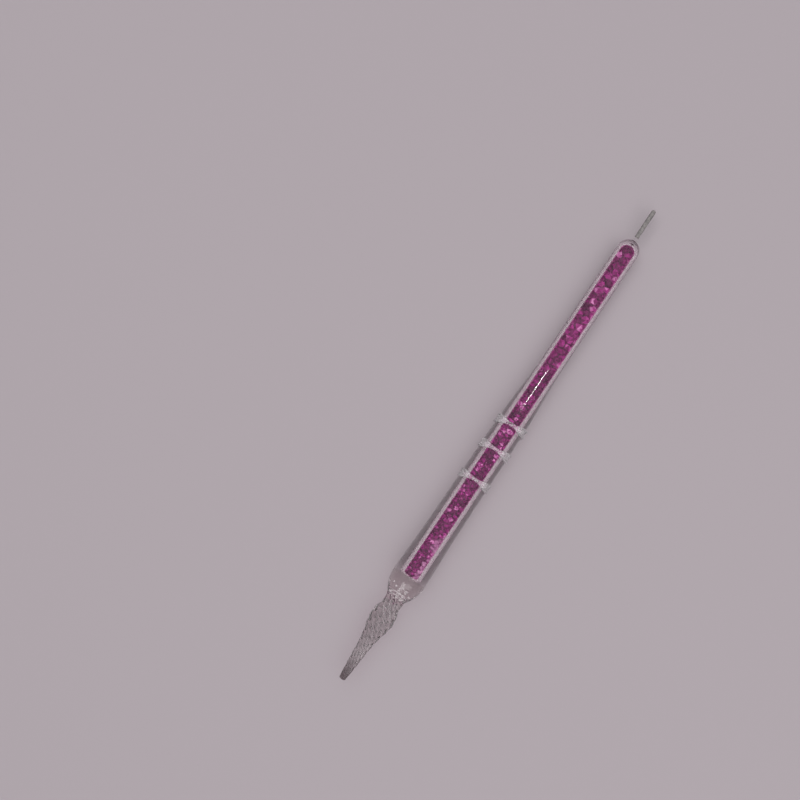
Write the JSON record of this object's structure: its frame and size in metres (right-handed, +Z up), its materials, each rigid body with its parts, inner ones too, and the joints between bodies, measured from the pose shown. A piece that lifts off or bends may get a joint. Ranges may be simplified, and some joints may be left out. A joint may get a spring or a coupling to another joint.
{
  "type": "glass dip pen",
  "caption": "Clear lampworked glass dip pen: twisted fluted nib, barrel filled with magenta crystal chips, three wound collars and a thin tail rod.",
  "frame": {"origin": "under the middle of the pen, level with the lowest point of its widest part", "axes": "the pen's axis is along X, nib towards -X and tail towards +X; the collar drops point along +Y and -Y; +Z is up"},
  "size_m": [0.18, 0.0116, 0.0115],
  "materials": {
    "clear_glass": "fire-polished clear",
    "magenta_crystal": "crushed and faceted",
    "lilac_crystal": "crushed and faceted"
  },
  "bodies": {
    "root": {"fluted_nib": "clear_glass", "shoulder_bulb": "clear_glass", "grip_casing": "clear_glass", "crystal_tube": "clear_glass", "tail_foot": "clear_glass", "tail_rod": "clear_glass", "front_collar_thread": "clear_glass", "front_collar_left_drop": "clear_glass", "front_collar_right_drop": "clear_glass", "middle_collar_thread": "clear_glass", "middle_collar_left_drop": "clear_glass", "middle_collar_right_drop": "clear_glass", "rear_collar_thread": "clear_glass", "rear_collar_left_drop": "clear_glass", "rear_collar_right_drop": "clear_glass", "fine_crystal_chips": "magenta_crystal", "medium_crystal_chips": "magenta_crystal", "coarse_crystal_chips": "magenta_crystal", "pale_crystal_chips": "lilac_crystal"}
  },
  "joints": []
}
